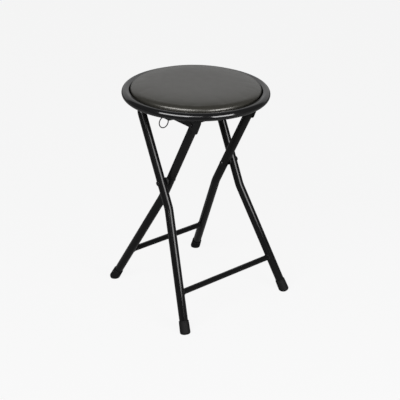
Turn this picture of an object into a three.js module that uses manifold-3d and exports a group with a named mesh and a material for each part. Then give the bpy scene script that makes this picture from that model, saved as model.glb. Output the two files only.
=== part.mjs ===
// Round padded folding stool. Two crossed tube frames turn on rivets at their crossing.
// The seat is hinged to the top of the inner frame and drops over the crossbar of the outer frame,
// where a sprung hook with a pull ring holds it. Millimetres, +Z up, origin on the floor under the
// middle of the seat. The inner frame's feet stand at -X, and the near side with the latch is -Y.
import * as THREE from "three";
import { mergeVertices } from "three/addons/utils/BufferGeometryUtils.js";
import Module from "manifold-3d";

const wasm = await Module();
wasm.setup();

// Overall sizes
const seatRadius = 150;
const seatPlaneHeight = 438.7; // top of the two seat rails over the hinge
const seatTilt = THREE.MathUtils.degToRad(0.9); // how far the seat rises from the hinge to the hook
const footReach = 140; // from the middle to where a leg's axis meets the floor, along X
const pivotDrop = 144.972; // from the seat's hinge down to the crossing
const pivotOffset = 9;
const kneeDrop = 50; // from the crossing down to the knee
const innerHalfWidth = 73; // from the middle to the axis of an inner leg, above its knee
const legGap = 5; // between an inner leg and the outer leg beside it
const innerFootSplay = 44;
const outerFootSplay = 43;

// Clearances
const seatGap = 0.3; // between pieces that touch
const runningGap = 0.5; // around a pin in its hole
const overrun = 3; // how far a cut runs past the faces it goes through
const mergeGap = 0.001; // vertices closer than this are one

// Tubes
const tubeDiameter = 18;
const tubeWall = 1.2;
const kneeBendRadius = 70;
const crossbarBendRadius = 20;
const stretcherDiameter = 12;
const stretcherWall = 1;
const innerStretcherHeight = 80;
const outerStretcherHeight = 73;
const legTopPastHinge = 9;

// Rubber feet
const footWall = 1.5;
const footSleeve = 18; // how much of the tube the foot covers
const footStandoff = 7.5; // from the floor to the tube's end, along the leg
const footToe = 3; // how far the rounded end runs past the leg's meeting point with the floor
const footEdgeRound = 5;

// Rivets and spacers at the crossing and at the seat hinge
const rivetShankRadius = 3;
const rivetHeadRadius = 5.2;
const rivetDomeHeight = 2.6;
const rivetFlatHeight = 1;
const spacerRadius = 8;

// Seat rim, a pressed ring open underneath
const rimWidth = 16;
const rimHeight = 16;
const rimSheet = 1.5;
const rimShoulder = 8; // radius of the rounded outer side, above and below
const rimInnerRound = 3;
const rimInnerDrop = 1.2; // how much lower the inner edge of the top lies than its crest

// Board, foam and cover
const boardThickness = 6;
const coverThickness = 1;
const padGroove = 1.6; // between the pad's side and the rim
const padSide = 12.7; // height of the pad's upright side
const padDrawIn = 1.2; // how far the side is drawn in at the board
const padCrown = 14;
const crownFlatnessShare = 3;
const crownRollShare = 0.62;
const hemWidth = 9;

// Seat rails
const railSheet = 2;
const railFlange = 18;
const railInset = 33; // from the rim's outside to the rail's end beyond the crossbar
const railPastHinge = 30;
const railDepth = 21.4;
const railClearOfLeg = 1.2;
const earDepth = 33;
const earToe = 17.5; // from the hinge to the lowest corner of the ear
const earHeel = 7; // from the hinge back to where the ear starts
const earTip = 5; // depth of the rail's ends under the rim
const railTailRise = 18; // length of the slope at the rail's other end
const sweepClearance = 2; // between a leg's turning top and the flange
const notchGap = 0.6;
const notchFlare = 5;
const crossbarDrop = 15.5; // from the seat plane to the crossbar's axis
const screwShankRadius = 1.75;
const screwHeadRadius = 3.2;
const screwHeadHeight = 1.8;
const screwLength = 6.5;
const screwClearOfHem = 8;
const screwShares = [-0.98, 0.57]; // of the way from the middle to the cover's hem

// Latch
const latchSheet = 2;
const latchBackGap = 0.4;
const latchTop = 2.5; // below the seat plane
const latchBandHeight = 12;
const latchHookDepth = 31; // from the seat plane to the hook's tip
const latchHookWidth = 7;
const latchHookTip = 3;
const latchTravel = 8;
const latchNose = 92; // from the crossbar to the band's end towards the hinge
const latchPinRadius = 2;
const latchPinHeadRadius = 3.6;
const latchPinHead = 1.4;
const latchPinSteps = [27, 55]; // from the crossbar
const tabHeel = 56.2; // from the crossbar to the tab's upright end
const tabToe = 79; // from the crossbar to where the tab's lower edge starts to rise
const tabRise = 23.6; // depth of the tab at its raised end
const tabDepth = 29.6;
const ringHoleStep = 61; // from the crossbar
const ringHoleRadius = 2.6;
const ringHoleDrop = 26; // from the seat plane to the middle of the hole
const ringWireRadius = 0.9;
const ringRadius = 11.4;
const lugLength = 8;
const lugHeight = 8;
const springRoom = 24; // between the two lugs
const springRadius = 2.6;
const springWireRadius = 0.45;
const springCurls = 10;
const springEndRun = 0.9;
const springTurnIn = 3;

// How finely round shapes are cut
const tubeSegments = 9;
const smallTubeSegments = 7;
const kneeSteps = 4;
const crossbarBendSteps = 8;
const rimSegments = 60;
const padSegments = 48;
const crownSteps = 9;
const footSegments = 20;
const rivetSegments = 16;
const screwSegments = 10;
const ringSegments = 36;
const ringWireSides = 8;
const arcSteps = 4;
const lipSteps = 3;
const curlSteps = 8;
const wireSides = 5;

// Sizes that follow
const tubeRadius = tubeDiameter / 2;
const stretcherRadius = stretcherDiameter / 2;
const outerHalfWidth = innerHalfWidth + tubeDiameter + legGap;
const hingeDrop = railSheet + sweepClearance + Math.hypot(legTopPastHinge, tubeRadius);
const hingeHeight = seatPlaneHeight - hingeDrop;
const pivotHeight = hingeHeight - pivotDrop;
const kneeHeight = pivotHeight - kneeDrop;
const innerLean = Math.atan2(footReach + pivotOffset, pivotHeight);
const outerLean = Math.atan2(footReach - pivotOffset, pivotHeight);
const hingeX = pivotOffset + (hingeHeight - pivotHeight) * Math.tan(innerLean);

// The crossbar lies where the line of the outer legs comes up to its drop under the tilted seat.
const seatRise = Math.tan(seatTilt);
const planeOverHinge = hingeHeight + hingeDrop / Math.cos(seatTilt);
const planeOverFoot = planeOverHinge + (hingeX - footReach) * seatRise;
const barUnderPlane = planeOverFoot - crossbarDrop / Math.cos(seatTilt);
const crossbarHeight = barUnderPlane / (1 - Math.tan(outerLean) * seatRise);
const crossbarX = pivotOffset - (crossbarHeight - pivotHeight) * Math.tan(outerLean);
const crossbarRun = (hingeX - crossbarX) * Math.cos(seatTilt);
const crossbarPlace = hingeX - crossbarRun - (crossbarHeight - hingeHeight) * Math.sin(seatTilt);
const crossbarSlant = outerLean + seatTilt; // of the crossbar's way in, from the seat's upright
const railInnerFace = innerHalfWidth + tubeRadius + railClearOfLeg;
const railOuterFace = railInnerFace + railSheet;
const railBack = seatRadius - railInset;
const railFront = hingeX + railPastHinge;
const rimInnerRadius = seatRadius - rimWidth;
const padRadius = rimInnerRadius - padGroove;
const boardRadius = padRadius - padDrawIn - coverThickness - seatGap;
const boardBottom = seatGap + coverThickness + seatGap;
const boardTop = boardBottom + boardThickness;
const hemInner = padRadius - padDrawIn - hemWidth;
const screwRow = railInnerFace - railFlange / 2;
const screwReach = Math.sqrt((hemInner - screwClearOfHem) ** 2 - screwRow ** 2);
const endScrews = screwShares.map((share) => share * screwReach);
const railSpacing = 2 * innerHalfWidth; // the far rail is the near one again, this much further along
const latchBack = railInnerFace - latchBackGap;
const latchFront = latchBack - latchSheet;
const lugEnd = latchFront - lugLength;
const latchMiddle = latchTop + latchBandHeight / 2;
const latchNoseX = crossbarPlace + latchNose;
const latchLugX = latchNoseX - latchSheet;
const railLugX = latchLugX - springRoom;
const latchPinPlaces = latchPinSteps.map((step) => crossbarPlace + step);
const screwPlaces = [endScrews[0], (latchPinPlaces[0] + latchPinPlaces[1]) / 2, endScrews[1]];
const ringHolePlace = crossbarPlace + ringHoleStep;

// Materials
const paintedSteel = new THREE.MeshStandardMaterial({ color: 0x1c1c1d, roughness: 0.3, metalness: 0.2 });
const glossRim = new THREE.MeshStandardMaterial({ color: 0x222222, roughness: 0.22, metalness: 0.2 });
const blackRubber = new THREE.MeshStandardMaterial({ color: 0x262626, roughness: 0.85, metalness: 0 });
const blackVinyl = new THREE.MeshStandardMaterial({ color: 0x4c4b48, roughness: 0.55, metalness: 0 });
const paleFoam = new THREE.MeshStandardMaterial({ color: 0xd9cfb4, roughness: 0.95, metalness: 0 });
const boardWood = new THREE.MeshStandardMaterial({ color: 0x6d5235, roughness: 0.8, metalness: 0 });
const darkZinc = new THREE.MeshStandardMaterial({ color: 0x2f3032, roughness: 0.35, metalness: 0.8 });
const nylon = new THREE.MeshStandardMaterial({ color: 0x1f1f1f, roughness: 0.6, metalness: 0 });
const springSteel = new THREE.MeshStandardMaterial({ color: 0x8d8f92, roughness: 0.3, metalness: 0.9 });

// A closed mesh as a solid that can be cut and joined.
function toSolid(geometry) {
  const bare = geometry.clone();
  bare.deleteAttribute("normal");
  bare.deleteAttribute("uv");
  const merged = mergeVertices(bare, mergeGap);
  const vertProperties = merged.attributes.position.array;
  const triVerts = new Uint32Array(merged.index.array);
  return new wasm.Manifold(new wasm.Mesh({ numProp: 3, vertProperties, triVerts }));
}

function toGeometry(solid) {
  const { vertProperties, triVerts, numProp } = solid.getMesh();
  const geometry = new THREE.BufferGeometry();
  geometry.setAttribute("position", new THREE.BufferAttribute(vertProperties, numProp));
  geometry.setIndex(new THREE.BufferAttribute(triVerts, 1));
  const faceted = geometry.toNonIndexed();
  faceted.computeVertexNormals();
  return faceted;
}

function cut(geometry, ...tools) {
  return toGeometry(tools.reduce((solid, tool) => solid.subtract(toSolid(tool)), toSolid(geometry)));
}

function join(...geometries) {
  return toGeometry(geometries.map(toSolid).reduce((solid, other) => solid.add(other)));
}

function named(name, geometry, material) {
  const mesh = new THREE.Mesh(geometry, material);
  mesh.name = name;
  return mesh;
}

// A disc, or a ring where a bore is given.
function disc(radius, bore) {
  const shape = new THREE.Shape().absarc(0, 0, radius, 0, 2 * Math.PI);
  if (bore) shape.holes.push(new THREE.Path().absarc(0, 0, bore, 0, 2 * Math.PI));
  return shape;
}

// Points of an arc in a profile, from one angle to another, ends included.
function arc(centreX, centreY, radius, from, to, steps = arcSteps) {
  return Array.from({ length: steps + 1 }, (unused, i) => {
    const angle = from + ((to - from) * i) / steps;
    return new THREE.Vector2(centreX + radius * Math.cos(angle), centreY + radius * Math.sin(angle));
  });
}

// A profile of radius and height turned round the Z axis.
function turned(profile, segments) {
  return new THREE.LatheGeometry(profile, segments).rotateX(Math.PI / 2);
}

// A route of straight runs and round bends, handed out station by station, so that a straight run
// takes one step and a bend several.
class Route extends THREE.Curve {
  constructor(stations) {
    super();
    this.stations = stations;
  }

  stationAt(share) {
    return this.stations[Math.round(share * (this.stations.length - 1))];
  }

  getPointAt(share, target = new THREE.Vector3()) {
    return target.copy(this.stationAt(share).point);
  }

  getTangentAt(share, target = new THREE.Vector3()) {
    return target.copy(this.stationAt(share).heading);
  }
}

// Stations of a route through corners, each corner but the first and last rounded to its bend.
function bentRoute(corners, bends) {
  const heading = (i) => corners[i + 1].clone().sub(corners[i]).normalize();
  const stations = [{ point: corners[0], heading: heading(0) }];
  bends.forEach(({ radius, steps }, i) => {
    const before = heading(i);
    const after = heading(i + 1);
    const turn = before.angleTo(after);
    const axis = before.clone().cross(after).normalize();
    const inward = after.clone().sub(before).normalize();
    const centre = corners[i + 1].clone().addScaledVector(inward, radius / Math.cos(turn / 2));
    for (let step = 0; step <= steps; step += 1) {
      const angle = (turn * step) / steps;
      const out = inward.clone().negate().applyAxisAngle(axis, angle - turn / 2);
      const point = centre.clone().addScaledVector(out, radius);
      stations.push({ point, heading: before.clone().applyAxisAngle(axis, angle) });
    }
  });
  const last = corners.length - 1;
  stations.push({ point: corners[last], heading: heading(last - 1) });
  return new Route(stations);
}

function swept(shape, route, curveSegments) {
  const steps = route.stations.length - 1;
  return new THREE.ExtrudeGeometry(shape, { steps, curveSegments, extrudePath: route });
}

// A rod along Y, for pins and for cutting their holes.
function rodAlongY(radius, from, to, segments = rivetSegments) {
  const rod = new THREE.CylinderGeometry(radius, radius, Math.abs(to - from), segments);
  return rod.translate(0, (from + to) / 2, 0);
}

// A flat plate in the XZ plane. Its outline's second coordinate is height.
function plateAcrossY(outline, from, to, curveSegments = arcSteps) {
  const depth = Math.abs(to - from);
  const plate = new THREE.ExtrudeGeometry(outline, { depth, bevelEnabled: false, curveSegments });
  return plate.rotateX(Math.PI / 2).translate(0, Math.max(from, to), 0);
}

function polygon(points) {
  return new THREE.Shape(points.map(([x, y]) => new THREE.Vector2(x, y)));
}

// A block between two opposite corners, the first with the smaller coordinates.
function block([x0, y0, z0], [x1, y1, z1]) {
  const solid = new THREE.BoxGeometry(x1 - x0, y1 - y0, z1 - z0);
  return solid.translate((x0 + x1) / 2, (y0 + y1) / 2, (z0 + z1) / 2);
}

// A rivet along Y, its grip centred on the origin. The head at -Y is flat, the one at +Y domed.
function rivet(grip) {
  const half = grip / 2 + seatGap;
  const domeRadius = (rivetHeadRadius ** 2 + rivetDomeHeight ** 2) / (2 * rivetDomeHeight);
  const domeCentre = half + rivetDomeHeight - domeRadius;
  const edge = Math.asin(rivetHeadRadius / domeRadius);
  const dome = arc(0, domeCentre, domeRadius, Math.PI / 2 - edge, Math.PI / 2);
  dome[dome.length - 1].x = 0;
  const profile = [
    new THREE.Vector2(0, -half - rivetFlatHeight),
    new THREE.Vector2(rivetHeadRadius - rivetFlatHeight, -half - rivetFlatHeight),
    new THREE.Vector2(rivetHeadRadius, -half),
    new THREE.Vector2(rivetShankRadius, -half),
    new THREE.Vector2(rivetShankRadius, half),
    ...dome,
  ];
  return new THREE.LatheGeometry(profile, rivetSegments);
}

// The measures of one leg frame in its own plane: Y across, Z up along the upper legs, with the
// crossing at the origin.
function framePlan(lean, halfWidth, footSplay, stretcherHeight) {
  const along = (height) => (height - pivotHeight) / Math.cos(lean);
  const foot = along(0);
  const knee = along(kneeHeight);
  const stretcher = along(stretcherHeight);
  const halfAt = (z) => halfWidth + (footSplay * (knee - z)) / (knee - foot);
  const lower = new THREE.Vector3(0, -footSplay, knee - foot).normalize();
  return { lean, halfWidth, footSplay, along, foot, knee, stretcher, halfAt, lower };
}

const innerPlan = framePlan(innerLean, innerHalfWidth, innerFootSplay, innerStretcherHeight);
const outerPlan = framePlan(-outerLean, outerHalfWidth, outerFootSplay, outerStretcherHeight);

function legAxis(plan, side) {
  return new THREE.Vector3(0, side * plan.lower.y, plan.lower.z);
}

function soleCentre(plan, side) {
  return new THREE.Vector3(0, side * (plan.halfWidth + plan.footSplay), plan.foot);
}

function tubeEnd(plan, side) {
  return soleCentre(plan, side).addScaledVector(legAxis(plan, side), footStandoff);
}

function legCorners(plan, side) {
  return [tubeEnd(plan, side), new THREE.Vector3(0, side * plan.halfWidth, plan.knee)];
}

const kneeBend = { radius: kneeBendRadius, steps: kneeSteps };
const crossbarBend = { radius: crossbarBendRadius, steps: crossbarBendSteps };
const innerTop = innerPlan.along(hingeHeight) + legTopPastHinge;
const outerTop = outerPlan.along(crossbarHeight);

function innerLegRoute(side) {
  const top = new THREE.Vector3(0, side * innerHalfWidth, innerTop);
  return bentRoute([...legCorners(innerPlan, side), top], [kneeBend]);
}

function outerFrameRoute() {
  const corner = (side) => new THREE.Vector3(0, side * outerHalfWidth, outerTop);
  const farLeg = legCorners(outerPlan, 1).reverse();
  const corners = [...legCorners(outerPlan, -1), corner(-1), corner(1), ...farLeg];
  return bentRoute(corners, [kneeBend, crossbarBend, crossbarBend, kneeBend]);
}

const tubeSection = disc(tubeRadius, tubeRadius - tubeWall);
const tubeCutter = disc(tubeRadius + seatGap);

// A hole through a leg along Y, at a height along the frame.
function crossHole(plan, side, z) {
  const from = side * (plan.halfWidth - tubeRadius - overrun);
  const to = side * (plan.halfWidth + tubeRadius + overrun);
  return rodAlongY(rivetShankRadius + runningGap, from, to).translate(0, 0, z);
}

function innerLeg(side) {
  const tube = swept(tubeSection, innerLegRoute(side), tubeSegments);
  const holes = [0, innerPlan.along(hingeHeight)].map((z) => crossHole(innerPlan, side, z));
  return cut(tube, ...holes);
}

function outerTube() {
  const tube = swept(tubeSection, outerFrameRoute(), tubeSegments);
  return cut(tube, crossHole(outerPlan, -1, 0), crossHole(outerPlan, 1, 0));
}

// A stretcher's ends are cut to the round of the legs that they are welded to.
function stretcher(plan, routes) {
  const reach = plan.halfAt(plan.stretcher);
  const ends = [-1, 1].map((side) => new THREE.Vector3(0, side * reach, plan.stretcher));
  const section = disc(stretcherRadius, stretcherRadius - stretcherWall);
  const tube = swept(section, bentRoute(ends, []), smallTubeSegments);
  return cut(tube, ...routes.map((route) => swept(tubeCutter, route, tubeSegments)));
}

// The ground, as a block in a leaning frame's own coordinates.
function groundBlock(plan) {
  const size = footReach + tubeDiameter;
  const block = new THREE.BoxGeometry(2 * size, 4 * size, size).translate(0, 0, -size / 2);
  return block.translate(-pivotOffset, 0, -pivotHeight).rotateY(-plan.lean);
}

// A rubber foot: a cup over the tube's end with a rounded toe, cut level with the ground.
function rubberFoot(plan, side) {
  const inner = tubeRadius + seatGap;
  const outer = inner + footWall;
  const top = footStandoff + footSleeve;
  const floor = footStandoff - seatGap;
  const lip = footWall / 2;
  const profile = [
    new THREE.Vector2(0, -footToe),
    ...arc(outer - footEdgeRound, footEdgeRound - footToe, footEdgeRound, -Math.PI / 2, 0),
    ...arc(outer - lip, top - lip, lip, 0, Math.PI / 2, lipSteps),
    new THREE.Vector2(inner, top),
    new THREE.Vector2(inner, floor),
    new THREE.Vector2(0, floor),
  ];
  const tilt = Math.atan2(-side * plan.lower.y, plan.lower.z);
  const centre = soleCentre(plan, side);
  const cup = turned(profile, footSegments).rotateX(tilt).translate(centre.x, centre.y, centre.z);
  return cut(cup, groundBlock(plan));
}

// The rim's cross-section: a rounded outer side, a flat top, a small roll into an upright inner
// wall, and open underneath between the two edges of the sheet.
function rimProfile() {
  const foot = seatGap;
  const top = foot + rimHeight;
  const crest = seatRadius - rimShoulder;
  const roll = [rimInnerRadius + rimInnerRound, top - rimInnerDrop - rimInnerRound];
  const skin = (inset) => [
    ...arc(crest, foot + rimShoulder, rimShoulder - inset, -Math.PI / 2, 0),
    ...arc(crest, top - rimShoulder, rimShoulder - inset, 0, Math.PI / 2).slice(1),
    ...arc(...roll, rimInnerRound - inset, Math.PI / 2, Math.PI),
    new THREE.Vector2(rimInnerRadius + inset, foot),
  ];
  const outside = skin(0);
  return [...outside, ...skin(rimSheet).reverse(), outside[0].clone()];
}

// Half of the pad's crown, from its edge to the middle, for a skin that lies a given depth inside.
function crownProfile(inset) {
  const edge = seatGap + padSide;
  return Array.from({ length: crownSteps + 1 }, (unused, i) => {
    const share = Math.cos((Math.PI / 2) * (i / crownSteps));
    const rise = (1 - share ** crownFlatnessShare) ** crownRollShare;
    const radius = i === crownSteps ? 0 : (padRadius - inset) * share;
    return new THREE.Vector2(radius, edge + (padCrown - inset) * rise);
  });
}

function coverProfile() {
  const low = padRadius - padDrawIn;
  return [
    new THREE.Vector2(hemInner, seatGap),
    new THREE.Vector2(low - coverThickness, seatGap),
    new THREE.Vector2(low, seatGap + coverThickness),
    ...crownProfile(0),
    ...crownProfile(coverThickness).reverse(),
    new THREE.Vector2(low - coverThickness, boardBottom - seatGap),
    new THREE.Vector2(hemInner, boardBottom - seatGap),
    new THREE.Vector2(hemInner, seatGap),
  ];
}

function foamProfile() {
  const bottom = boardTop + seatGap;
  const skin = coverThickness + seatGap;
  return [new THREE.Vector2(0, bottom), new THREE.Vector2(boardRadius, bottom), ...crownProfile(skin)];
}

function board() {
  const shape = disc(boardRadius);
  for (const row of [-screwRow, railSpacing - screwRow]) {
    for (const place of screwPlaces) {
      const edge = arc(place, row, screwShankRadius + runningGap, 0, 2 * Math.PI, screwSegments);
      shape.holes.push(new THREE.Path(edge.slice(1)));
    }
  }
  const options = { depth: boardThickness, bevelEnabled: false, curveSegments: padSegments / 2 };
  return new THREE.ExtrudeGeometry(shape, options).translate(0, 0, boardBottom);
}

// The slot that the crossbar enters from below, along the line of the outer leg, as a sliding piece
// needs it after a shift. The crossbar's bends start inside the rails, so the tube lies lower there
// by the drop of its bend.
function crossbarNotch(atWidth, from, to, shift = 0) {
  const into = Math.max(0, atWidth - (outerHalfWidth - crossbarBendRadius));
  const topReach = Math.sqrt((crossbarBendRadius + tubeRadius) ** 2 - into ** 2) - crossbarBendRadius;
  const half = tubeRadius + notchGap;
  const depth = railDepth + earDepth;
  const shoulder = topReach + notchGap - half;
  const outline = new THREE.Shape();
  outline.moveTo(-half, -depth);
  outline.lineTo(-half, shoulder);
  outline.absarc(0, shoulder, half, Math.PI, 0, true);
  outline.lineTo(half + notchFlare, -depth);
  const slot = plateAcrossY(outline, from, to).rotateY(-crossbarSlant);
  return slot.translate(crossbarPlace + shift, 0, -crossbarDrop);
}

function railOutline() {
  return polygon([
    [-railBack, 0],
    [-railBack, -earTip],
    [-railBack + railTailRise, -railDepth],
    [hingeX - earHeel, -railDepth],
    [hingeX + earToe, -earDepth],
    [railFront, -earTip],
    [railFront, 0],
  ]);
}

// The seat rail at the near side: a pressed angle whose web hangs beside the leg, with an ear for
// the hinge, and whose flange carries the board. The rail with the latch also holds its two pins,
// and a lug bent down from its flange stops the spring.
function rail(withLatch) {
  const web = plateAcrossY(railOutline(), -railInnerFace, -railOuterFace);
  const flange = block(
    [-railBack, -railInnerFace - railSheet / 2, -railSheet],
    [railFront, railFlange - railInnerFace, 0],
  );
  const parts = [web, flange];
  const through = [overrun - railInnerFace, -railOuterFace - overrun];
  const hingeHole = rodAlongY(rivetShankRadius + runningGap, ...through);
  const tools = [crossbarNotch(0, ...through), hingeHole.translate(hingeX, 0, -hingeDrop)];
  for (const place of screwPlaces) {
    const radius = screwShankRadius + runningGap;
    const hole = new THREE.CylinderGeometry(radius, radius, railSheet + 2 * overrun, screwSegments);
    tools.push(hole.rotateX(Math.PI / 2).translate(place, -screwRow, -railSheet / 2));
  }
  if (withLatch) {
    const low = [railLugX - railSheet, seatGap - latchFront, -latchMiddle - lugHeight / 2];
    parts.push(block(low, [railLugX, -lugEnd, -railSheet / 2]));
    for (const place of latchPinPlaces) {
      tools.push(rodAlongY(latchPinRadius + seatGap, ...through).translate(place, 0, -latchMiddle));
    }
  }
  return cut(join(...parts), ...tools);
}

// A pan-head screw that points up, its head's seat at the origin.
function railScrew() {
  const dome = arc(0, 0, screwHeadRadius, -Math.PI / 2, 0, lipSteps);
  for (const point of dome) {
    point.y = (point.y * screwHeadHeight) / screwHeadRadius - seatGap;
  }
  dome[0].x = 0;
  const profile = [
    ...dome,
    new THREE.Vector2(screwShankRadius, -seatGap),
    new THREE.Vector2(screwShankRadius, screwLength - screwShankRadius),
    new THREE.Vector2(0, screwLength),
  ];
  return turned(profile, screwSegments);
}

// The sliding hook: a band on two pins, a hook beyond the crossbar and a tab for the pull ring.
function latchHook() {
  const bottom = -(latchTop + latchBandHeight);
  const hookSide = crossbarPlace - (tubeRadius + notchGap) / Math.cos(crossbarSlant);
  const hookEnd = hookSide - latchHookWidth;
  const plate = polygon([
    [hookEnd, -latchTop],
    [hookEnd, -latchHookDepth + latchHookTip],
    [hookEnd + latchHookTip, -latchHookDepth],
    [hookSide + tubeRadius, -latchHookDepth],
    [hookSide + tubeRadius, bottom],
    [crossbarPlace + tabHeel, bottom],
    [crossbarPlace + tabHeel, -tabDepth],
    [crossbarPlace + tabToe, -tabDepth],
    [latchNoseX, -tabRise],
    [latchNoseX, -latchTop],
  ]);
  const ringHole = new THREE.Path();
  plate.holes.push(ringHole.absarc(ringHolePlace, -ringHoleDrop, ringHoleRadius, 0, 2 * Math.PI));
  const slotRadius = latchPinRadius + seatGap;
  const tools = latchPinPlaces.map((place) => {
    const slot = new THREE.Shape();
    slot.absarc(place, -latchMiddle, slotRadius, Math.PI / 2, (3 * Math.PI) / 2, false);
    slot.absarc(place + latchTravel, -latchMiddle, slotRadius, -Math.PI / 2, Math.PI / 2, false);
    return plateAcrossY(slot, -(latchFront - overrun), -(latchBack + overrun));
  });
  const through = [-(latchFront - overrun), -(latchBack + overrun)];
  for (const shift of [0, latchTravel / 2, latchTravel]) {
    tools.push(crossbarNotch(latchFront, ...through, shift));
  }
  const half = lugHeight / 2;
  const lowest = [latchLugX, -latchFront - latchSheet / 2, -latchMiddle - half];
  const lug = block(lowest, [latchNoseX, -lugEnd, half - latchMiddle]);
  return cut(join(plateAcrossY(plate, -latchFront, -latchBack, tubeSegments), lug), ...tools);
}

// A shouldered pin along Y, from a flush end in the rail's web to a flat head inside the latch.
function latchPin() {
  const head = latchFront - seatGap;
  const profile = [
    new THREE.Vector2(0, -railOuterFace),
    new THREE.Vector2(latchPinRadius, -railOuterFace),
    new THREE.Vector2(latchPinRadius, -head),
    new THREE.Vector2(latchPinHeadRadius, -head),
    new THREE.Vector2(latchPinHeadRadius, -head + latchPinHead),
    new THREE.Vector2(0, -head + latchPinHead),
  ];
  return new THREE.LatheGeometry(profile, rivetSegments);
}

// A push spring along X between the rail's lug and the latch's. Its wire leaves each lug straight,
// turns into the coil over a short run, and winds evenly between.
function springRoute() {
  const coilPitch = (advance) => advance / springCurls;
  const length = springRoom - 2 * seatGap;
  const turnSteps = curlSteps / 2;
  const around = 2 * Math.PI * springRadius;
  let slope = Math.PI / 2;
  const turnAdvance = () => {
    const stretch = springTurnIn / turnSteps;
    const shares = Array.from({ length: turnSteps }, (unused, i) => (i + 1 / 2) / turnSteps);
    return shares.reduce((sum, share) => sum + stretch * Math.cos(slope * share), 0);
  };
  for (let pass = 0; pass < curlSteps; pass += 1) {
    const advance = length - 2 * springEndRun - 2 * turnAdvance();
    slope = Math.atan2(around, coilPitch(advance));
  }
  const advance = length - 2 * springEndRun - 2 * turnAdvance();
  const stations = [];
  let x = seatGap;
  let angle = 0;
  const put = (tilt) => {
    const point = new THREE.Vector3(x, springRadius * Math.cos(angle), springRadius * Math.sin(angle));
    const heading = new THREE.Vector3(
      Math.cos(tilt),
      -Math.sin(tilt) * Math.sin(angle),
      Math.sin(tilt) * Math.cos(angle),
    );
    stations.push({ point, heading });
  };
  const go = (stretch, tilt) => {
    x += stretch * Math.cos(tilt);
    angle += (stretch * Math.sin(tilt)) / springRadius;
  };
  put(0);
  x += springEndRun;
  put(0);
  for (let i = 0; i < turnSteps; i += 1) {
    go(springTurnIn / turnSteps, (slope * (i + 1 / 2)) / turnSteps);
    put((slope * (i + 1)) / turnSteps);
  }
  const coilSteps = springCurls * curlSteps;
  for (let i = 0; i < coilSteps; i += 1) {
    x += advance / coilSteps;
    angle += (2 * Math.PI) / curlSteps;
    put(slope);
  }
  for (let i = turnSteps - 1; i >= 0; i -= 1) {
    go(springTurnIn / turnSteps, (slope * (i + 1 / 2)) / turnSteps);
    put((slope * i) / turnSteps);
  }
  x += springEndRun;
  put(0);
  return new Route(stations);
}

// The least gap between one curl of the spring and the next, measured on its stations.
function leastSpringGap(route) {
  const points = route.stations.map((station) => station.point);
  let least = Infinity;
  for (let i = 0; i < points.length; i += 1) {
    for (let j = i + curlSteps - 2; j < points.length; j += 1) {
      least = Math.min(least, points[i].distanceTo(points[j]));
    }
  }
  return least - 2 * springWireRadius;
}

function latchSpring() {
  const route = springRoute();
  console.log(`least gap between spring curls: ${leastSpringGap(route).toFixed(2)} mm`);
  const corners = arc(0, 0, springWireRadius, 0, 2 * Math.PI, wireSides).slice(0, wireSides);
  const middle = (latchFront + lugEnd) / 2;
  return swept(new THREE.Shape(corners), route, 1).translate(railLugX, -middle, -latchMiddle);
}

function pullRing() {
  const ring = new THREE.TorusGeometry(ringRadius, ringWireRadius, ringWireSides, ringSegments);
  const hang = ringHoleDrop + ringHoleRadius - ringWireRadius - seatGap;
  const middle = (latchFront + latchBack) / 2;
  return ring.rotateY(Math.PI / 2).translate(ringHolePlace, -middle, -hang - ringRadius);
}

const innerFrame = new THREE.Group();
innerFrame.position.set(pivotOffset, 0, pivotHeight);
innerFrame.rotation.y = innerPlan.lean;
const outerFrame = new THREE.Group();
outerFrame.position.copy(innerFrame.position);
outerFrame.rotation.y = outerPlan.lean;
const seat = new THREE.Group();
const hingeInSeat = new THREE.Vector3(hingeX, 0, -hingeDrop);
seat.rotation.y = seatTilt;
seat.position.set(hingeX, 0, hingeHeight).sub(hingeInSeat.applyEuler(seat.rotation));

const sides = [
  { side: -1, word: "near" },
  { side: 1, word: "far" },
];

for (const { side, word } of sides) {
  const pivotGrip = outerHalfWidth - innerHalfWidth + tubeDiameter;
  const hingeGrip = railOuterFace - innerHalfWidth + tubeRadius;
  const pivotRivet = named(`pivot_rivet_${word}`, rivet(pivotGrip), darkZinc);
  pivotRivet.position.y = (side * (innerHalfWidth + outerHalfWidth)) / 2;
  if (side > 0) pivotRivet.rotation.z = Math.PI;
  const rowShift = side > 0 ? railSpacing : 0;
  const hingeRivet = named(`seat_hinge_rivet_${word}`, rivet(hingeGrip), darkZinc);
  hingeRivet.position.set(0, rowShift + hingeGrip / 2 - railOuterFace, innerPlan.along(hingeHeight));
  const ring = disc(spacerRadius, rivetShankRadius + runningGap);
  const spacerLength = legGap - 2 * seatGap;
  const options = { depth: spacerLength, bevelEnabled: false, curveSegments: tubeSegments };
  const spacerShape = new THREE.ExtrudeGeometry(ring, options).translate(0, 0, -spacerLength / 2);
  const spacer = named(`pivot_spacer_${word}`, spacerShape.rotateX(Math.PI / 2), nylon);
  spacer.position.copy(pivotRivet.position);
  innerFrame.add(
    named(`inner_leg_${word}`, innerLeg(side), paintedSteel),
    named(`inner_foot_${word}`, rubberFoot(innerPlan, side), blackRubber),
    hingeRivet,
  );
  const outerFoot = named(`outer_foot_${word}`, rubberFoot(outerPlan, side), blackRubber);
  outerFrame.add(outerFoot, pivotRivet, spacer);
  const seatRail = named(`seat_rail_${word}`, rail(side < 0), paintedSteel);
  seatRail.position.y = rowShift;
  seat.add(seatRail);
  screwPlaces.forEach((place, i) => {
    const screw = named(`rail_screw_${word}_${i + 1}`, railScrew(), darkZinc);
    screw.position.set(place, rowShift - screwRow, -railSheet);
    seat.add(screw);
  });
}

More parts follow.
